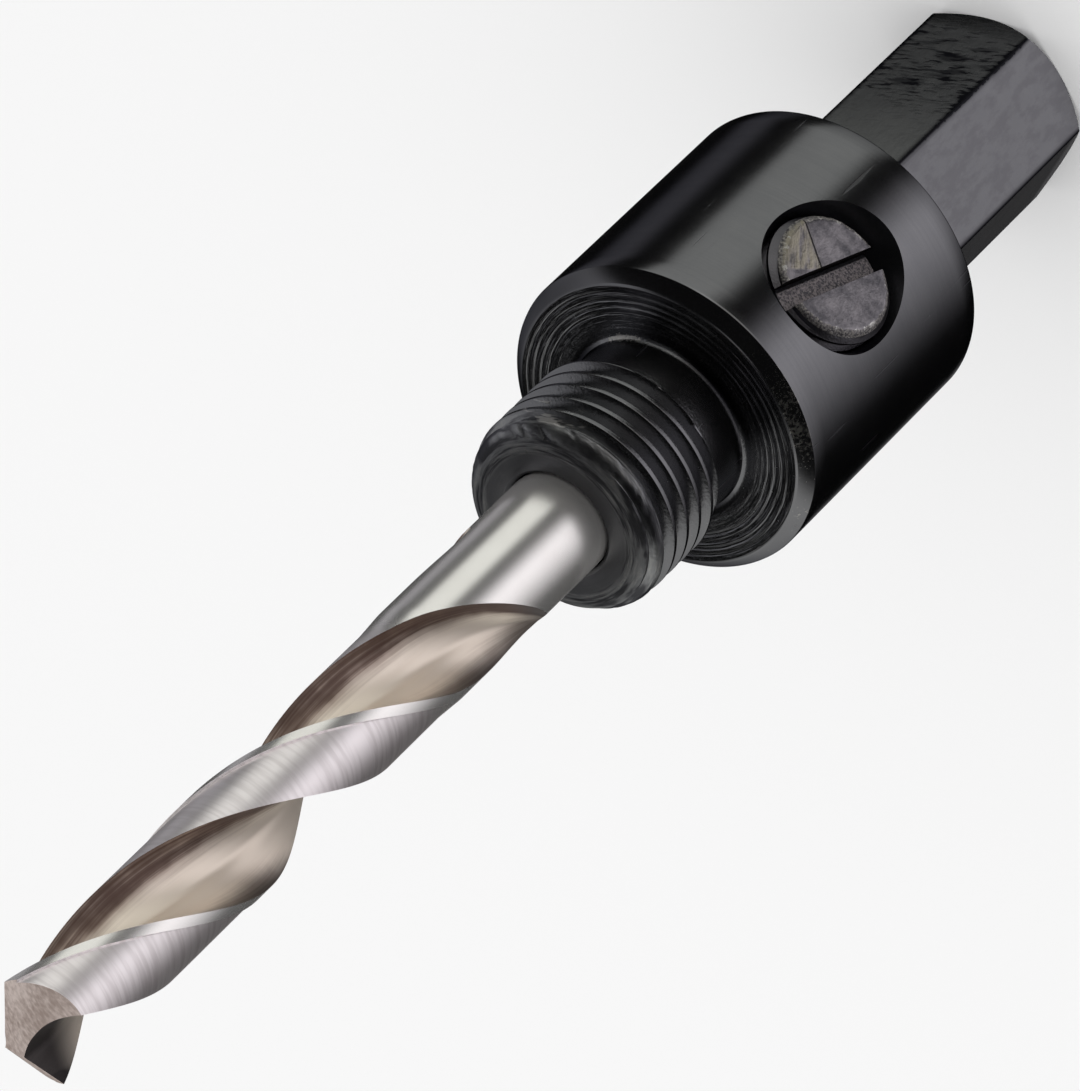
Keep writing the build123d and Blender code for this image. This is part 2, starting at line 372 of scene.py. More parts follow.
def hexagon(angles):
    """Radius of the rounded hexagon in each direction."""
    off = off_corner(angles)
    flat = HEX_AF / 2 / np.cos(SIDE / 2 - abs(off))
    centre = (HEX_AF / 2 - HEX_EDGE) / math.cos(SIDE / 2)
    inside = np.maximum(HEX_EDGE ** 2 - (centre * np.sin(off)) ** 2, 0)
    arc = centre * np.cos(off) + np.sqrt(inside)
    tangent = math.atan2(HEX_EDGE * 0.5, centre + HEX_EDGE * math.cos(SIDE / 2))
    return np.where(abs(off) < tangent, arc, flat)


corner_wear = -np.exp(-(off_corner(body_angles) / CRUST_SPREAD) ** 2)
print("directions round the body:", len(body_angles))

# %% [markdown]
# The body's outline starts in the middle of the end face, runs up the hexagon and out over
# the collar. Each edge gets two close rings, so that it is a small true chamfer and catches
# the light. A number goes with each ring: above 0 the bare steel comes through there, and
# below 0 the skin is thick and dull. At the neck's foot the same number also paints a
# highlight in arcs, and painted shade between them.

# %% Hex shank and collar
COLLAR_BACK_Z, COLLAR_FRONT_Z = 18.8, 37.3
HEX_CHAMFER = 0.92
END_R = HEX_AF / math.sqrt(3) - HEX_CHAMFER
CHAMFER_FRONT, CHAMFER_BACK = 0.75, 0.3

body = Rings(body_angles)
hexed = hexagon(body_angles)
body.line([(0, 0), (2, 0), (4, 0), (END_R - 0.1, 0)])
body.add(END_R, 0.02, 0.8)
body.add(hexed - 0.02, hexed - END_R - 0.02, 0.5)
body.add(hexed, hexed - END_R + 0.08, 0.3 + 1.3 * corner_wear)
for height in (2, 6, 10, 14, 17):
    body.add(hexed, height, corner_wear)
body.add(hexed, COLLAR_BACK_Z, corner_wear * 0.3)
body.line([(7, COLLAR_BACK_Z), (8.3, COLLAR_BACK_Z)])
body.add(COLLAR_R - CHAMFER_BACK - 0.06, COLLAR_BACK_Z, -0.5)
body.line([(COLLAR_R - CHAMFER_BACK + 0.03, COLLAR_BACK_Z + 0.03),
           (COLLAR_R - 0.03, COLLAR_BACK_Z + CHAMFER_BACK - 0.03)], -0.9)
body.add(COLLAR_R, COLLAR_BACK_Z + CHAMFER_BACK + 0.06, -0.3)
for height in np.linspace(20.2, 35.4, 9):
    body.add(COLLAR_R, height)
print("collar:", COLLAR_FRONT_Z - COLLAR_BACK_Z, "mm long")

# %% [markdown]
# The collar's front face keeps the fine ridges that the facing tool left, so its rings rise
# and fall by a few hundredths. Its rim is rubbed bright on some sides only, where a saw's
# back plate has turned against it. The foot of the neck is bright in a few arcs, worn and
# also a painted highlight, with painted shade between them.

# %% Front face and neck
NECK_R, NECK_END_Z = 5.5, 40.4
RIDGE, RIDGE_STEP = 0.024, 0.44
FACE_OUT_R = COLLAR_R - CHAMFER_FRONT - 0.12
FACE_IN_R = 6.9


def facing(direction, spread):
    """Weight of 1 round the body toward a direction in degrees, fading over the spread."""
    away = (np.degrees(body_angles) - direction + 180) % 360 - 180
    return np.exp(-(away / spread) ** 2)


def ripple(angle, height, seed):
    """Even, repeatable roughness, about -1 to 1, for worn and torn edges."""
    total = 0
    for wave, turns in enumerate((3, 7, 17, 31, 53), start=1):
        phase = seed * wave * 1.7 + height * (1.1 + 0.6 * wave)
        total = total + np.sin(turns * angle + phase) / 2.2
    return total


front_wear = 0.5 + 0.5 * facing(-110, 30) + 0.25 * facing(-165, 30) - 1.1 * facing(0, 45)
body.add(COLLAR_R, COLLAR_FRONT_Z - CHAMFER_FRONT - 0.10, 0.3)
body.line([(COLLAR_R - 0.035, COLLAR_FRONT_Z - CHAMFER_FRONT + 0.025),
           (COLLAR_R - CHAMFER_FRONT + 0.05, COLLAR_FRONT_Z - 0.05)], front_wear)
body.add(COLLAR_R - CHAMFER_FRONT - 0.06, COLLAR_FRONT_Z, 0.8 * front_wear)
for radius in np.arange(FACE_OUT_R, FACE_IN_R + 0.05, -RIDGE_STEP / 8):
    fade = min(1, (FACE_OUT_R - radius) / 0.2, (radius - FACE_IN_R) / 0.3)
    wave = 0.5 - 0.5 * math.cos(2 * math.pi * radius / RIDGE_STEP)
    body.add(radius, COLLAR_FRONT_Z - RIDGE * wave * fade)
body.line([(NECK_R + 0.9, COLLAR_FRONT_Z)])
# The neck's foot is worn bright in these arcs, which also paint a highlight, and painted shade
# makes it near black between them.
arcs = facing(-24, 16) + 0.6 * facing(-50, 16) + 0.7 * facing(-145, 24)
foot_wear_glint_and_shade = arcs * (1.15 + 0.25 * ripple(body_angles, 0, 1.3)) - 0.9 * (1 - np.minimum(arcs, 1))
body.add(NECK_R + 0.36, COLLAR_FRONT_Z, foot_wear_glint_and_shade * 0.8)
body.add(NECK_R + 0.26, COLLAR_FRONT_Z + 0.01, foot_wear_glint_and_shade)
body.add(NECK_R + 0.10, COLLAR_FRONT_Z + 0.08, foot_wear_glint_and_shade)
body.add(NECK_R + 0.02, COLLAR_FRONT_Z + 0.22, foot_wear_glint_and_shade * 0.7)
body.line([(NECK_R, COLLAR_FRONT_Z + 0.34), (NECK_R, 38.4), (NECK_R, 39.4)])
print("rings up to the neck:", len(body.points))

# %% [markdown]
# The nose carries a fine thread, 20 turns to the inch. A ring of it climbs one pitch in a
# turn and joins on to the ring a pitch higher, so the helix has no seam. Its radius is the
# blank's or the groove's, whichever is smaller. Where the thread runs out over the rounded
# end, its crests are torn on one side, as on the used tool.

# %% Threaded nose and bore
CREST_R, ROOT_R = 6.31, 5.68
PITCH, ROOT_FLAT = 1.27, 0.28
GROOVE_Z = 41.596           # middle of one groove in the direction of +X
SLOPE = 1 / math.tan(math.radians(30))
FACE_R, ROUND_LEN = 4.7, 1.8
BORE_R, BORE_RIM, BORE_END_Z = 3.225, 0.25, 19.2
THREAD_TOP_Z = NOSE_Z - 0.25
TEAR, TEAR_FROM_Z = 0.07, 45.9
DRILLED_SLOPE = math.tan(math.radians(59))  # of the hollow that a drill leaves


def softest(first, second, width):
    """The smaller of two values, eased over the width where they cross."""
    share = np.clip(0.5 + (second - first) / (2 * width), 0, 1)
    return second * (1 - share) + first * share - width * share * (1 - share)


def nose_radius(height, away):
    """Radius of the threaded nose at each height and distance from the groove's middle."""
    lead_in = NECK_R + (height - NECK_END_Z) * SLOPE
    along = np.clip((height - NOSE_Z + ROUND_LEN) / ROUND_LEN, 0, 1)
    rounded = FACE_R + (CREST_R - FACE_R) * np.sqrt(1 - along ** 2)
    blank = softest(np.maximum(lead_in, NECK_R), rounded, 0.04)
    groove = ROOT_R + np.maximum(abs(away) - ROOT_FLAT / 2, 0) * SLOPE
    tears = np.maximum(ripple(body_angles, height * 3, 3.1) - 0.1, 0) * (0.25 + facing(-38, 20))
    torn = TEAR * np.clip((height - TEAR_FROM_Z) / 0.9, 0, 1) * tears
    return np.minimum(blank, softest(groove, blank, 0.035)) - torn


shares = (0, 0.07, 0.11, 0.15, 0.23, 0.31, 0.37, 0.396, 0.42, 0.5,
          0.58, 0.604, 0.63, 0.69, 0.77, 0.85, 0.89, 0.93)
body.thread(shares, PITCH, GROOVE_Z, NECK_END_Z - 0.1, THREAD_TOP_Z, nose_radius)
for turn in np.linspace(math.asin((ROUND_LEN - 0.25) / ROUND_LEN), math.pi / 2, 7)[1:]:
    body.add(FACE_R + (CREST_R - FACE_R) * math.cos(turn),
             NOSE_Z - ROUND_LEN * (1 - math.sin(turn)))
rim_r = BORE_R + BORE_RIM
body.line([(FACE_R - 0.5, NOSE_Z), (rim_r + 0.05, NOSE_Z)])
body.line([(rim_r - 0.02, NOSE_Z - 0.02), (BORE_R + 0.03, NOSE_Z - BORE_RIM + 0.03)], 0.6)
for height in (NOSE_Z - BORE_RIM - 0.08, 44, 38, 30, 24, BORE_END_Z):
    body.add(BORE_R, height)
body.add(0, BORE_END_Z - BORE_R / DRILLED_SLOPE)
arbor = body.build("arbor_steel")

# %% [markdown]
# The screw's hole runs square into the collar, with a countersunk mouth. It is cut from the
# finished skin with an exact boolean, because its edge crosses every ring.

# %% Screw hole
HOLE_R, HOLE_MOUTH_R, HOLE_FULL_TO = 4.06, 5.15, 3.0
MOUTH_SLOPE = math.tan(math.radians(30))
IN_HOLE = 4                 # the mark of faces that the hole leaves
round_angles = np.linspace(0, 2 * math.pi, 128, endpoint=False)


def cut(piece, tool):
    """Takes the tool's solid out of the piece."""
    change = piece.modifiers.new("cut", "BOOLEAN")
    change.object = tool
    change.solver = "EXACT"
    change.operation = "DIFFERENCE"
    now = bpy.context.evaluated_depsgraph_get()
    shaped = bpy.data.meshes.new_from_object(piece.evaluated_get(now))
    piece.modifiers.clear()
    piece.data = shaped
    bpy.data.objects.remove(tool)


def smooth(piece, angle=28):
    """Shades the piece smooth, with its edges sharper than the angle kept crisp."""
    piece.data.shade_smooth()
    piece.data.set_sharp_from_angle(angle=math.radians(angle))


def outward(piece):
    """Lays a piece made on Z along the screw's axis, out of the collar toward -Y."""
    frame_to_world = Matrix(((1, 0, 0, 0), (0, 0, -1, 0), (0, 1, 0, SCREW_Z * MM), (0, 0, 0, 1)))
    piece.data.transform(frame_to_world)
    return piece


hole = Rings(round_angles)
cone = HOLE_R / DRILLED_SLOPE
hole.line([(0, HOLE_FULL_TO - cone), (HOLE_R, HOLE_FULL_TO),
           (HOLE_R, COLLAR_R - (HOLE_MOUTH_R - HOLE_R) / MOUTH_SLOPE),
           (HOLE_MOUTH_R + MOUTH_SLOPE, COLLAR_R + 1), (0, COLLAR_R + 1)], kind=IN_HOLE)
cut(arbor, outward(hole.build("hole")))
smooth(arbor)
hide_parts("arbor_body")
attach(arbor, "arbor")
print("arbor skin:", len(arbor.data.polygons), "faces")

# %% [markdown]
# The set screw is turned and threaded like the nose, only finer, and its slot is sawn
# across the outer end. Its rim is battered, so the steel shows through there.

# %% Set screw
SCREW_R, SCREW_TIP_R, SCREW_LOW, SCREW_TOP = 4.0, 2.5, 2.775, 9.55
SCREW_RIM, SLOT_WIDTH, SLOT_DEPTH = 0.55, 1.4, 1.35
SLOT_TURN = math.radians(16)
SCREW_PITCH, SCREW_DEPTH, SCREW_GROOVE = 1.0, 0.5, 4.0
ON_RIM, SLOT_FLOOR, SLOT_WALL = 1, 2, 3     # marks of the faces that look different


def block_tool(name, low, high, corners, kinds=None):
    """An upright block between two heights, over four corners, as a cutting tool."""
    mesh = bpy.data.meshes.new(name)
    points = [Vector((x, y, z)) * MM for z in (low, high) for x, y in corners]
    mesh.from_pydata(points, [], [(3, 2, 1, 0), (4, 5, 6, 7), (0, 1, 5, 4),
                                  (1, 2, 6, 5), (2, 3, 7, 6), (3, 0, 4, 7)])
    if kinds:
        mesh.attributes.new("kind", "FLOAT", "FACE").data.foreach_set("value", kinds)
    tool = bpy.data.objects.new(name, mesh)
    bpy.context.scene.collection.objects.link(tool)
    return tool


def screw_radius(height, away):
    """Radius of the screw's thread, faded into its tip and rim."""
    tip = SCREW_TIP_R + height - SCREW_LOW
    rim = SCREW_R - np.maximum(height - (SCREW_TOP - SCREW_RIM), 0)
    groove = SCREW_R - SCREW_DEPTH + np.maximum(abs(away) - 0.08, 0) * SLOPE * 0.9
    return softest(softest(np.minimum(tip, SCREW_R), rim, 0.03), groove, 0.03)


turned_screw = Rings(round_angles)
turned_screw.line([(0, SCREW_LOW), (1.2, SCREW_LOW), (SCREW_TIP_R, SCREW_LOW),
                   (3.4, SCREW_LOW + 0.9)])
tenths = (0, 0.1, 0.2, 0.3, 0.4, 0.5, 0.6, 0.7, 0.8, 0.9)
turned_screw.thread(tenths, SCREW_PITCH, SCREW_GROOVE, SCREW_LOW + 0.95,
                    SCREW_TOP - SCREW_RIM, screw_radius)
batter = 0.05 * ripple(round_angles, 0.0, 2.2)
bruises = np.clip(ripple(round_angles, 4.0, 2.6) * 1.3, 0, 1)
turned_screw.add(3.72, SCREW_TOP - 0.30, 0.2, kind=ON_RIM)
turned_screw.add(3.60 + batter, SCREW_TOP - 0.17, 0.3 + 0.3 * bruises, kind=ON_RIM)
turned_screw.add(3.48 + batter, SCREW_TOP - 0.06, 0.4 + 0.6 * bruises, kind=ON_RIM)
turned_screw.add(3.38 + batter, SCREW_TOP - 0.01, 0.4 + 0.6 * bruises)
turned_screw.add(3.24 + batter, SCREW_TOP, 0.2 + 0.3 * bruises)
turned_screw.line([(2.9, SCREW_TOP), (2.4, SCREW_TOP), (1.2, SCREW_TOP), (0, SCREW_TOP)])
screw = turned_screw.build("slotted_screw")

wide, far = SLOT_WIDTH / 2, SCREW_R + 2
spin = Matrix.Rotation(-SLOT_TURN, 2)
slot_corners = [spin @ Vector(corner)
                for corner in ((-wide, -far), (wide, -far), (wide, far), (-wide, far))]
cut(screw, block_tool("slot", SCREW_TOP - SLOT_DEPTH, SCREW_TOP + 1, slot_corners,
                      [SLOT_FLOOR] + [SLOT_WALL] * 5))
outward(screw)
smooth(screw)
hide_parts("set_screw")
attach(screw, "screw")
print("screw:", round(SCREW_TOP - SCREW_LOW, 2), "mm long")

# %% [markdown]
# A twist drill's section is the same all the way up, only turned. Its outline goes round
# twice: in along the lip side of a flute, round the core and out along the heel, back over
# the lowered land, and up onto the narrow margin that steers the drill. The sections are
# stacked and turned with the height. Where the flutes run out, the grinding wheel has
# lifted off, so the flute's curve moves outward until it leaves the bar.

# %% Section of the drill
DRILL_R, LAND_R = 3.175, 3.035
DRILL_BACK_Z, DRILL_BACK_CHAMFER = 19.2, 0.5
LEAD, LIP_TURN = 40.5, -17.2
LIP_OFFSET, LIP_RISE = 0.5, 0.146
WEB_R, FLUTE_ANGLE = 0.58, 99.5
MARGIN = 0.66
POINT_HALF = math.radians(59)
TWIST = 360 / LEAD
CORNER = math.degrees(math.asin(LIP_OFFSET / DRILL_R))


def at(radius, degrees):
    """A point of the section, by its distance and direction from the axis."""
    return radius * np.array([math.cos(math.radians(degrees)), math.sin(math.radians(degrees))])


def eased_curve(knots, samples):
    """A cubic spline through the knots, sampled evenly from end to end."""
    knots = np.array(knots)
    span = np.concatenate([[0], np.cumsum(np.linalg.norm(np.diff(knots, axis=0), axis=1))])
    step = np.diff(span)
    size = len(knots)
    system, right_side = np.eye(size), np.zeros((size, 2))
    for i in range(1, size - 1):
        before, after = step[i - 1], step[i]
        system[i, i - 1:i + 2] = before, 2 * (before + after), after
        right_side[i] = 6 * ((knots[i + 1] - knots[i]) / after - (knots[i] - knots[i - 1]) / before)
    bend = np.linalg.solve(system, right_side)
    place = np.linspace(0, span[-1], samples)
    i = np.clip(np.searchsorted(span, place) - 1, 0, size - 2)
    past, left = (place - span[i])[:, None], (span[i + 1] - place)[:, None]
    width = step[i][:, None]
    from_left = (knots[i] / width - bend[i] * width / 6) * left
    from_right = (knots[i + 1] / width - bend[i + 1] * width / 6) * past
    return (bend[i] * left ** 3 + bend[i + 1] * past ** 3) / (6 * width) + from_left + from_right


knots = [at(DRILL_R + 0.4, CORNER + 0.5)]
for share in (1.0, 0.8, 0.62, 0.46, 0.32):
    turned_back = TWIST * DRILL_R * (1 - share) / math.tan(POINT_HALF)
    ahead_of_axis = math.degrees(math.asin(LIP_OFFSET / DRILL_R / share))
    knots.append(at(DRILL_R * share, ahead_of_axis - turned_back))
heel = CORNER + FLUTE_ANGLE
knots += [at(WEB_R * 1.12, CORNER + 24), at(WEB_R, CORNER + 52), at(WEB_R * 1.25, heel - 17)]
knots += [at(DRILL_R * share, heel + lean)
          for share, lean in ((0.38, 1), (0.57, 6), (0.79, 4), (1.0, 0))]
knots.append(at(DRILL_R + 0.4, heel - 2))
FLUTE_CURVE = eased_curve(knots, 600)
nearest = float(np.linalg.norm(FLUTE_CURVE, axis=1).min())
print("flute: nearest to the axis", round(nearest, 3), "mm")

# %% [markdown]
# One ring of the drill is two equal halves, each a flute, a land and a margin. The flute's
# part of the ring is cut to the bar's circle, so it shrinks to nothing over the run-out.

# %% One ring of the drill
IN_FLUTE, ON_LAND, ON_MARGIN = 44, 24, 5                # points in each part
FLUTE_FACE, LAND_FACE, MARGIN_FACE = 1, 2, 3            # marks of their faces
RUNOUT_START, RUNOUT_END = 63.5, 52.5
RINGS_FROM_Z = RUNOUT_END - 1.6     # the first ring with a flute's twist
DRILL_TIP_Z = 99.1
LIP_DROP = math.sqrt(DRILL_R ** 2 - LIP_OFFSET ** 2) / math.tan(POINT_HALF) - LIP_RISE * LIP_OFFSET


def half_ring(lift, land_r):
    """Half a section in the lip's own frame: points, places across a part, and marks."""
    curve = FLUTE_CURVE + at(lift, CORNER + FLUTE_ANGLE / 2)
    far = np.linalg.norm(curve, axis=1)
    middle = int(far.argmin())
    if far[middle] >= DRILL_R:
        flute = np.array([at(DRILL_R, CORNER + FLUTE_ANGLE / 2)] * IN_FLUTE)
    else:
        start = middle - int((far[middle::-1] > DRILL_R).argmax())
        end = middle + int((far[middle:] > land_r).argmax())
        curve = curve[start:end + 1]
        span = np.concatenate([[0], np.cumsum(np.linalg.norm(np.diff(curve, axis=0), axis=1))])
        even = np.linspace(0, span[-1], IN_FLUTE)
        flute = np.stack([np.interp(even, span, curve[:, k]) for k in (0, 1)], -1)
        flute[0] *= DRILL_R / np.linalg.norm(flute[0])
        flute[-1] *= land_r / np.linalg.norm(flute[-1])
    first, last = (math.degrees(math.atan2(p[1], p[0])) for p in (flute[0], flute[-1]))
    back = first + 180 - math.degrees(MARGIN / DRILL_R)
    land = [at(land_r, a) for a in np.linspace(last, back, ON_LAND + 1)[1:]]
    edge = [at(DRILL_R, back + 0.25)]
    margin = [at(DRILL_R, a) for a in np.linspace(back + 0.25, first + 180, ON_MARGIN + 1)[1:-1]]
    points = np.concatenate([flute, land, edge, margin])
    across = np.concatenate([np.linspace(0, 1, IN_FLUTE), np.linspace(1, 0.1, ON_LAND + 1)[1:],
                             [0.1], np.linspace(0.1, 0, ON_MARGIN + 1)[1:-1]])
    kind = np.array([FLUTE_FACE] * (IN_FLUTE - 1) + [LAND_FACE] * (ON_LAND + 1)
                    + [MARGIN_FACE] * ON_MARGIN)
    return points, across, kind


def drill_ring(rings, height):
    """Adds the section at one height, turned by the twist."""
    fall = max(0, RUNOUT_START - height)
    wheel_r = (RUNOUT_START - RUNOUT_END) ** 2 / (2 * (DRILL_R - WEB_R + 0.25))
    fade = min(1, max(0, (height - RUNOUT_START + 2) / 2))
    land_r = DRILL_R - (DRILL_R - LAND_R) * fade
    points, across, kind = half_ring(fall ** 2 / (2 * wheel_r), land_r)
    below_lip = max(height, RINGS_FROM_Z) - DRILL_TIP_Z + LIP_DROP
    turn = math.radians(LIP_TURN - CORNER + TWIST * below_lip)
    both = np.concatenate([points, -points])
    x = both[:, 0] * math.cos(turn) - both[:, 1] * math.sin(turn)
    y = both[:, 0] * math.sin(turn) + both[:, 1] * math.cos(turn)
    rings.place(x, y, height, across=np.concatenate([across, across]),
                kind=np.concatenate([kind, kind]))
    return x, y


# %% [markdown]
# The rings are stacked from the chamfered back end upward, closer together in the run-out
# than in the even flutes, and closed flat above where the point will be.

# %% Bar with its flutes
wraps = Rings(np.zeros(2 * (IN_FLUTE + ON_LAND + 1 + ON_MARGIN - 1)))
low_x, low_y = drill_ring(Rings(wraps.angles), RINGS_FROM_Z)
chamfered = 1 - DRILL_BACK_CHAMFER / DRILL_R
for share, height in ((0, DRILL_BACK_Z), (0.5, DRILL_BACK_Z), (chamfered, DRILL_BACK_Z),
                      (1, DRILL_BACK_Z + DRILL_BACK_CHAMFER),
                      (1, 26), (1, 34), (1, 42), (1, 47), (1, 50)):
    wraps.place(low_x * share, low_y * share, height)
for height in np.arange(RINGS_FROM_Z, RUNOUT_START, 0.25):
    drill_ring(wraps, height)
for height in np.arange(RUNOUT_START, DRILL_TIP_Z + 0.9, 0.4):
    drill_ring(wraps, height)
drill = wraps.build("ground_drill", cap=True)

# %% [markdown]
# Each side of a real point is part of a cone that falls away behind its lip. So a short bar
# with such a cone hollowed out of it is the shape of what the grinder takes off, and cutting
# it away twice leaves the point, its chisel edge and its relief.

# %% Grinding the point
RELIEF, CONE_OPENING = math.radians(10), math.radians(28)
APEX_BACK, CONE_LEN = 7, 26


def standing(name, radius, low, high):
    """A plain bar on the axis, as a cutting tool."""
    bar = Rings(round_angles)
    bar.line([(0, low), (radius, low), (radius, high), (0, high)])
    return bar.build(name)


def point_side(half_turn):
    """What the grinder takes off for one side of the point."""
    down, out = math.cos(POINT_HALF), math.sin(POINT_HALF)
    lip = Vector((out, 0, -down))
    normal = Vector((down, -math.tan(RELIEF) * out, out)).normalized()
    axis = lip * math.cos(CONE_OPENING) - normal * math.sin(CONE_OPENING)
    apex = Vector((0, LIP_OFFSET, DRILL_TIP_Z + LIP_RISE * LIP_OFFSET)) - lip * (APEX_BACK / out)
    grinder = Rings(np.linspace(0, 2 * math.pi, 360, endpoint=False))
    grinder.line([(0, 0), (CONE_LEN * math.tan(CONE_OPENING), CONE_LEN), (0, CONE_LEN)])
    cone = grinder.build("grinding_cone")
    turn = math.radians(LIP_TURN - CORNER) + half_turn
    cone.data.transform(Matrix.Rotation(turn, 4, "Z") @ Matrix.Translation(apex * MM)
                        @ axis.to_track_quat("Z", "Y").to_matrix().to_4x4())
    block = standing("point_block", DRILL_R + 2, DRILL_TIP_Z - 4.5, DRILL_TIP_Z + 2.5)
    cut(block, cone)
    return block


for half_turn in (0, math.pi):
    cut(drill, point_side(half_turn))

# %% [markdown]
# A flat is ground along the shank for the set screw to bear on. It stays hidden until the
# drill is drawn out.

# %% Flat under the screw
FLAT_H, FLAT_END_Z = 2.775, 44.2

flat_corners = ((-4, -5), (4, -5), (4, -FLAT_H), (-4, -FLAT_H))
cut(drill, block_tool("flat", DRILL_BACK_Z - 1, FLAT_END_Z, flat_corners))
smooth(drill, 24)
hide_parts("pilot_drill")
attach(drill, "drill")
print("drill point at", round(max(v.co.z for v in drill.data.vertices) / MM, 3), "mm")

# %% [markdown]
# A finish has to know where on the tool it is. This class gives the shaded point in
# millimetres, the marks that were stored with the mesh, and noise drawn out round the axis,
# as a lathe leaves it, or along the axis, as a drawing die does.

# %% Places on a turned part
SAME = 0.3              # how near a stored mark has to be to its number


def start_finish(name):
    material = bpy.data.materials.new(name)
    material.use_nodes = True
    return material, Tree(material.node_tree)


class Spot:
    """Millimetre coordinates of the shaded point, and patterns that run with the work."""

    def __init__(self, tree):
        self.tree = tree
        place = tree.node("TexCoord", out="Object")
        self.mm = tree.node("VectorMath", {"operation": "SCALE"}, i0=place, Scale=1 / MM)
        self.x, self.y, self.z = (tree.node("SeparateXYZ", out=axis, i0=self.mm) for axis in "XYZ")
        self.r = (self.x * self.x + self.y * self.y).math("SQRT")

    def mark(self, name):
        return self.tree.node("Attribute", {"attribute_name": name}, out="Fac")

    def vector(self, x, y, z):
        return self.tree.node("CombineXYZ", X=x, Y=y, Z=z)

    def grain(self, vector, scale=1.0, detail=2.0, rough=0.5):
        return self.tree.node("TexNoise", out="Fac", Vector=vector, Scale=scale,
                              Detail=detail, Roughness=rough)

    def round_work(self, around, along):
        """Marks that run round the axis: slow round the turn, quick along it."""
        reach = self.r.math("MAXIMUM", 0.01)
        return self.vector(self.x / reach * around, self.y / reach * around,
                           (self.z + self.r) * along)

    def lengthwise(self, across, along):
        """Marks that run along the axis."""
        return self.vector(self.x * across, self.y * across, self.z * along)


def dent(tree, height, depth, strength=1.0):
    """A bump of the given depth in millimetres."""
    return tree.node("Bump", out="Normal", Height=height, Distance=depth * MM, Strength=strength)


def metal(tree, colour, rough, normal, edge, metallic=1.0):
    """A metal whose reflection falls to the edge colour at grazing angles."""
    shader = tree.node("BsdfPrincipled", Base_Color=colour, Metallic=metallic,
                       Roughness=rough, Normal=normal)
    shader.out.node.inputs["Specular Tint"].default_value = (*edge, 1)
    return shader


# %% [markdown]
# Black oxide is a thin dark skin on turned steel. It mirrors the boards dimly, keeps the
# marks of the tool that cut it, and wears off the sharpest edges first. So the finish is a
# dark metal whose marks run round the turned parts and along the milled flats, with the
# wear that was stored with the mesh letting bright steel through.

# %% Black oxide: parts and patterns
oxide, tree = start_finish("black_oxide")
spot = Spot(tree)
wear = spot.mark("wear")
on_hex = spot.z.ramp(18.85, 18.75)
on_nose = spot.z.ramp(37.0, 37.25) * spot.r.ramp(6.9, 6.6)
on_ring = spot.z.ramp(47.3, 47.75)
in_mouth = spot.mark("kind").math("COMPARE", IN_HOLE, SAME)
turned_marks = spot.grain(spot.round_work(1.4, 9.0), detail=3.0)
blotches = spot.grain(spot.mm, scale=0.55, detail=4.0, rough=0.6)
speckle = spot.grain(spot.mm, scale=6.0, detail=3.0)
scuffs = spot.grain(spot.lengthwise(3.2, 0.16), detail=1.0).ramp(0.70, 0.78) * (1 - on_hex)
marks = turned_marks * (1 - on_hex)

# %% [markdown]
# The shank was drawn lengthwise. Its top flat has been clamped in a chuck, so slanting
# smears lie near its end, and the skin is thick and dull along the corners.

# %% Black oxide: the shank's flats
FLAT_DIRECTION = HEX_TURN - SIDE / 2
SLANT = 0.3

flat_x, flat_y = math.cos(FLAT_DIRECTION), math.sin(FLAT_DIRECTION)
top_flat = (spot.x * flat_x + spot.y * flat_y).ramp(5.35, 5.5) * on_hex
over_flat = spot.y * flat_x - spot.x * flat_y
waves = spot.grain(spot.vector(over_flat * 0.8, spot.z * 0.5, 0.0), detail=3.0)
slanted = spot.vector((over_flat + spot.z * SLANT) * 0.45,
                      (spot.z - over_flat * SLANT) * 1.9 + waves * 1.2, 2.0)
smears = spot.grain(slanted, detail=4.0).ramp(0.42, 0.62) * spot.z.band(2.5, 9.5, 3.0)
nicks = spot.grain(slanted, scale=2.2, detail=2.0).ramp(0.50, 0.66) * spot.z.ramp(16, 8)
scores = (smears + nicks * 0.8) * top_flat
toward_collar = top_flat * spot.z.ramp(7.0, 17.0)
drawn = spot.grain(spot.lengthwise(1.2, 0.5), detail=5.0, rough=0.65) * on_hex
# Below 0: thick skin on the corners and chamfers, and painted shade at the neck's foot.
crust_and_shade = (0 - wear).math("MAXIMUM", 0.0)

# %% [markdown]
# Round the nose's end the turning tool left fine rings, and use has grazed them grey. On
# one side the end is torn in short level streaks. Sharp edges are worn where the mesh says
# so, broken up by the speckle.

# %% Black oxide: the nose's end and the wear
fine_rings = spot.grain(spot.round_work(1.6, 5.5), detail=3.0, rough=0.6)
rounding = spot.z.ramp(45.9, 46.4) * spot.r.ramp(4.4, 4.7)
front_face = spot.z.band(37.2, 37.4, 0.05) * spot.r.ramp(5.9, 6.3) * spot.r.ramp(9.1, 8.9)
ridges = rounding * fine_rings.ramp(0.40, 0.62)
furrows = rounding * fine_rings.ramp(0.50, 0.36)
grazed = rounding * fine_rings.ramp(0.52, 0.66) * speckle.ramp(0.35, 0.60) * 0.6
toward_nick = (spot.x * 0.79 - spot.y * 0.61) / spot.r.math("MAXIMUM", 0.01)
level = spot.z * 0.52 + spot.y * 0.48
over_tear, along_tear = level - spot.x * 0.71, level + spot.x * 0.71
tear_lines = spot.grain(spot.vector(over_tear * 2.3, along_tear * 0.45, 0.0), detail=3.0, rough=0.6)
torn = tear_lines.ramp(0.53, 0.60) * toward_nick.ramp(0.90, 0.97) * spot.z.band(44.9, 47.0, 0.3)
# At the neck's foot this bare steel is also a painted highlight.
worn = (wear * 1.15 + speckle * 1.1 + blotches * 0.9 - 2.05).ramp(0.0, 0.25)

# %% [markdown]
# The colours go on in layers, each where its mask says, from the skin up to bare steel.
# Roughness and bump follow the same masks, so that colour and gloss agree.

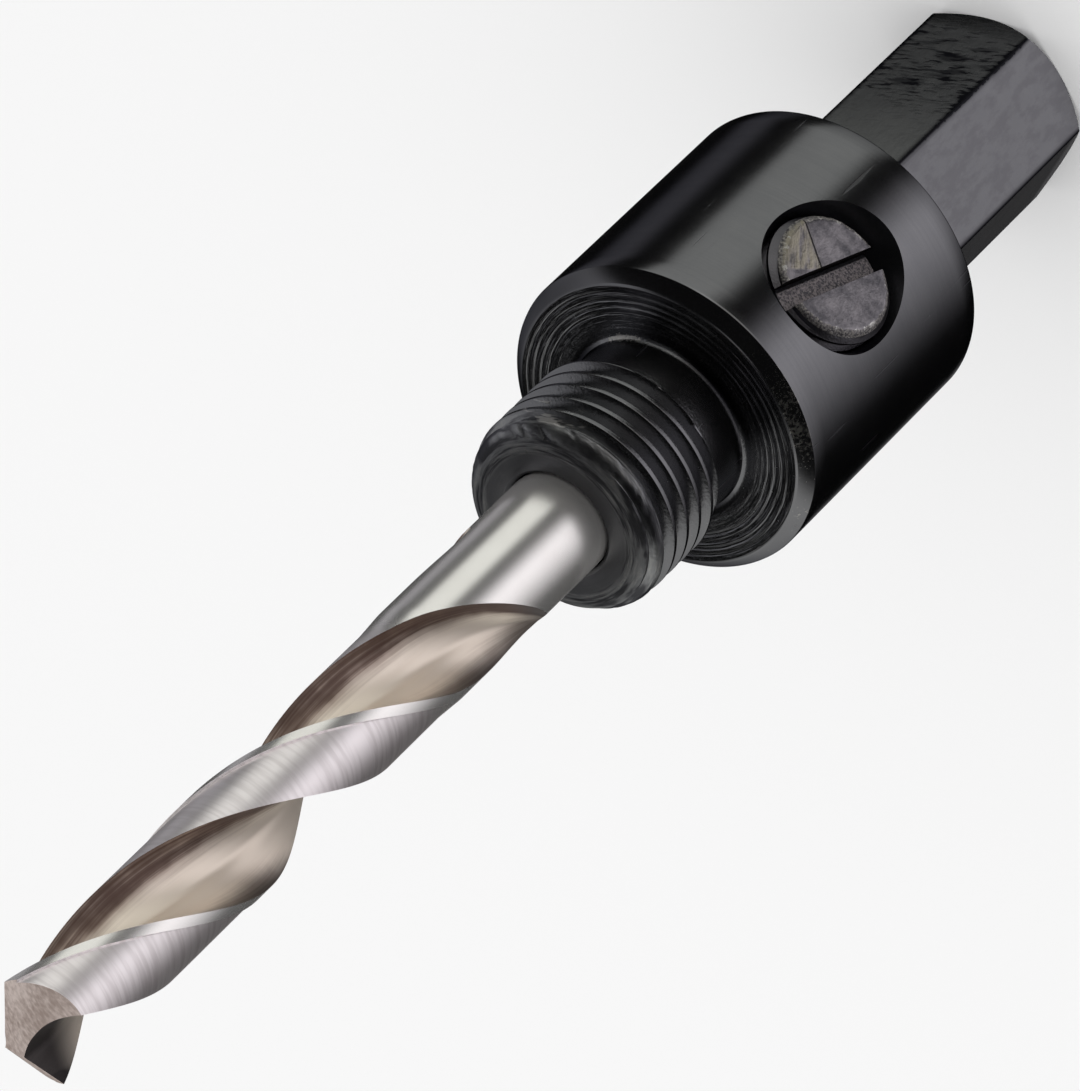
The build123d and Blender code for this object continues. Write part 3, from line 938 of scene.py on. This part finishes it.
# %% Black oxide: skin
OXIDE_DARK, OXIDE_PALE = (0.155, 0.157, 0.166, 1), (0.200, 0.200, 0.208, 1)
DRAWN_DARK, RUBBED = (0.12, 0.118, 0.128, 1), (0.32, 0.325, 0.33, 1)
FURROW, CRUSTED_AND_SHADED = (0.05, 0.05, 0.055, 1), (0.015, 0.015, 0.018, 1)
IN_SHADE = (0.06, 0.06, 0.07, 1)
BARE_STEEL, TORN_STEEL = (0.40, 0.39, 0.37, 1), (0.62, 0.61, 0.60, 1)

tone = (blotches * 0.8 + marks * 0.8 + drawn * 0.8 - 0.3).math("MINIMUM", 1.0)
colour = tree.blend(OXIDE_DARK, OXIDE_PALE, tone)
colour = tree.blend(colour, DRAWN_DARK, drawn.ramp(0.42, 0.62) * on_hex * (1 - top_flat) * 0.5)
colour = tree.blend(colour, RUBBED, toward_collar * 0.9 + ridges * 0.8)
colour = tree.blend(colour, FURROW, furrows * 0.8)
# Near black where the skin is crusted or the chuck scored it, and painted shade at the neck's foot.
colour = tree.blend(colour, CRUSTED_AND_SHADED, (scores * 0.8 + crust_and_shade * 1.1).math("MINIMUM", 1.0))
colour = tree.blend(colour, IN_SHADE, in_mouth * 0.8)
colour = tree.blend(colour, BARE_STEEL, (worn + grazed).math("MINIMUM", 1.0))
colour = tree.blend(colour, TORN_STEEL, torn)
rough = (0.13 + blotches * 0.06 + speckle * 0.04 + scuffs * 0.12 + worn * 0.15 + scores * 0.15
         + on_ring * 0.26 + in_mouth * 0.2 + on_nose * 0.06 + rounding * 0.16 + torn * 0.3)
relief = (marks * 0.5 + speckle * (0.2 + on_nose * 2.4 + in_mouth * 2) - scores * 0.2
          - scuffs * 0.4 + drawn * 0.6 + fine_rings * (rounding * 7 + front_face * 8) + torn * 2)
tree.finish("Material", metal(tree, colour, rough, dent(tree, relief, 0.005), (0.32, 0.32, 0.33)))
print("black oxide:", len(tree.tree.nodes), "nodes")

# %% [markdown]
# The screw has the same black skin, but a screwdriver and a workbench have been at it. Its
# outer face is mottled grey, with a few brown streaks and a bright battered rim.

# %% Worn screw: places and patterns
screw_skin, tree = start_finish("worn_screw")
spot = Spot(tree)
mottle = spot.grain(spot.mm, scale=1.1, detail=5.0, rough=0.65)
speckle = spot.grain(spot.mm, scale=8.0, detail=3.0)
kind = spot.mark("kind")
rim, slot_floor, slot_wall = (kind.math("COMPARE", mark, SAME)
                              for mark in (ON_RIM, SLOT_FLOOR, SLOT_WALL))
outer = (0 - spot.y).ramp(9.3, 9.5)
up_face = spot.z - SCREW_Z
over_slot = spot.x * math.cos(SLOT_TURN) - up_face * math.sin(SLOT_TURN)
# Painted shade: the slot's wall and a band of its floor beside that wall go near black.
slot_shade = slot_wall + slot_floor * (over_slot + speckle * 0.2).ramp(0.56, 0.64)
left, high = spot.x * 0.77 + up_face * 0.64, spot.x * 0.82 - up_face * 0.57
beside_crack = left - high * 0.37 - 0.83
crack = beside_crack.band(-0.05, 0.05, 0.06) * high.ramp(0.2, 0.4) * outer
streaks = spot.grain(spot.vector(left * 3.2, high * 0.7, 0.0), detail=3.0)
rusty = beside_crack.ramp(0.0, 0.1) * high.ramp(0.2, 0.4) * streaks.ramp(0.30, 0.62) * outer
worn = (spot.mark("wear") * 1.1 + speckle * 1.5 + mottle * 0.8 - 1.95).ramp(0.0, 0.25)

# %% [markdown]
# The same layers again: mottled skin, bruised rim, the sawn slot with painted shade on its
# wall and along one side of its floor, a patch of brown beside a fine crack, and bare steel last.

# %% Worn screw: skin
SKIN, MOTTLED = (0.115, 0.112, 0.122, 1), (0.30, 0.285, 0.30, 1)
BRUISED, SAWN = (0.42, 0.40, 0.38, 1), (0.34, 0.31, 0.31, 1)
SLOT_SHADE_BLACK, RUST = (0.02, 0.02, 0.022, 1), (0.40, 0.37, 0.29, 1)
CRACK, SCRAPED = (0.02, 0.02, 0.02, 1), (0.60, 0.59, 0.57, 1)

colour = tree.blend(SKIN, MOTTLED, mottle.ramp(0.32, 0.68) * outer)
colour = tree.blend(colour, BRUISED, rim * speckle.ramp(0.35, 0.65))
colour = tree.blend(colour, SAWN, slot_floor * speckle.ramp(0.35, 0.60))
colour = tree.blend(colour, SLOT_SHADE_BLACK, slot_shade)
colour = tree.blend(colour, RUST, rusty * 0.8)
colour = tree.blend(colour, CRACK, crack * 0.9)
colour = tree.blend(colour, SCRAPED, worn)
rough = 0.28 + mottle * 0.16 + rim * 0.25 + slot_floor * 0.2
relief = mottle * 0.8 + speckle * (0.6 + slot_floor + rim) + streaks * rusty * 0.8 - crack
tree.finish("Material", metal(tree, colour, rough, dent(tree, relief, 0.03), (0.4, 0.4, 0.4)))
print("worn screw:", len(tree.tree.nodes), "nodes")

# %% [markdown]
# The drill is ground bright all over. Its shank carries fine marks round the axis, its
# lands a slanting hatch from the grinding wheel, and its flutes run brown with heat and
# oil, in streaks that follow the twist. Painted shade darkens the heel side of each flute
# and the drill's -X side. The mesh says which face is which.

# %% Ground steel: places and patterns
ground, tree = start_finish("ground_steel")
spot = Spot(tree)
kind, across = spot.mark("kind"), spot.mark("across")
in_flute = kind.math("COMPARE", FLUTE_FACE, SAME) * spot.z.ramp(51.0, 51.4)
on_land = kind.math("COMPARE", LAND_FACE, SAME) * spot.z.ramp(62.0, 66.0)
on_point = (1 - in_flute) * (1 - kind.math("GREATER_THAN", 0.5)) * spot.z.ramp(94.0, 94.5)
near_tip = spot.z.ramp(93.0, 97.0)
streaks = spot.grain(spot.vector(across * 30, spot.z * 0.10, 0.0), detail=4.0, rough=0.6)
cloud = spot.grain(spot.mm, scale=0.35, detail=3.0)
ring_marks = spot.grain(spot.round_work(1.0, 14.0), detail=3.0)
hatch = spot.grain(spot.vector(spot.z * 3.0 - across * 1.2, across * 0.9, 0.0), detail=3.0)
point_marks = spot.grain(spot.vector(spot.x * 2.5, spot.y * 9.0, spot.z * 6.0), detail=3.0)
# Painted shade: the drill's -X side and the heel side of each flute are darkened in the colour
# below.
far_side = spot.x * -0.29 - spot.y * 0.11
shaded, edge_side = far_side.ramp(0.25, 0.95), far_side.ramp(0.55, 0.95)
heel_side = across.ramp(0.50, 0.85)
heat_and_shade = (streaks * 0.6 + cloud * 0.5 + heel_side * 0.95 + shaded * 0.65 - 0.68).ramp(0.0, 1.0)

# %% [markdown]
# The flutes go from straw to brown with the heat and, as painted shade, darker on the heel
# side; painted shade makes them nearly black at the tip and along one side. The lands are
# paler, dulled on that side by painted shade, and the point, fresh from a coarse wheel, is
# the roughest.

# %% Ground steel: skin
STRAW, BROWN = (1.00, 0.90, 0.79, 1), (0.24, 0.16, 0.13, 1)
BURNT_AND_SHADED, SHADE_BLACK = (0.09, 0.058, 0.05, 1), (0.05, 0.044, 0.046, 1)
BRIGHT, DULLED = (1.00, 0.985, 0.96, 1), (0.92, 0.89, 0.86, 1)
LAND_PALE, LAND_DULL_AND_SHADED = (1.00, 0.95, 0.955, 1), (0.50, 0.45, 0.45, 1)
POINT_DARK, POINT_PALE = (0.44, 0.35, 0.31, 1), (0.78, 0.67, 0.62, 1)

flute_colour = tree.blend(STRAW, BROWN, heat_and_shade)
flute_colour = tree.blend(flute_colour, BURNT_AND_SHADED, heat_and_shade.ramp(0.62, 1.0) * 0.75)
# Painted shade: the flutes go near black at the tip and along their -X edge.
painted_shade = (near_tip * 0.97 + edge_side * 0.8).math("MINIMUM", 1.0)
flute_colour = tree.blend(flute_colour, SHADE_BLACK, painted_shade)
# The lands' hatch is real; their darkening on the -X side is painted shade.
hatch_and_shade = hatch.ramp(0.42, 0.66) * 0.25 + shaded * 0.55
colour = tree.blend(BRIGHT, DULLED, cloud)
colour = tree.blend(colour, tree.blend(LAND_PALE, LAND_DULL_AND_SHADED, hatch_and_shade), on_land)
colour = tree.blend(colour, flute_colour, in_flute)
point_tone = (cloud * 0.6 + point_marks * 0.4).ramp(0.36, 0.62)
colour = tree.blend(colour, tree.blend(POINT_DARK, POINT_PALE, point_tone), on_point)
flute_rough = streaks * 0.16 + 0.22 - heel_side * 0.09
rough = (0.22 + cloud * 0.06 + on_land * (hatch * 0.16 + 0.06) + in_flute * flute_rough
         + on_point * 0.28)
relief = (ring_marks * (1 - in_flute) * (1 - on_land) * 0.4 + hatch * on_land * 1.8
          + streaks * in_flute * 1.2)
shine = 0.9 - on_point * 0.45
tree.finish("Material", metal(tree, colour, rough, dent(tree, relief, 0.004),
                              (0.85, 0.84, 0.83), shine))
print("ground steel:", len(tree.tree.nodes), "nodes")

# %% [markdown]
# Each piece takes its own finish and no other.

# %% Finishes on the pieces
for piece, finish in ((arbor, oxide), (screw, screw_skin), (drill, ground)):
    piece.data.materials.clear()
    piece.data.materials.append(finish)
print("finishes:", ", ".join(piece.data.materials[0].name for piece in (arbor, screw, drill)))
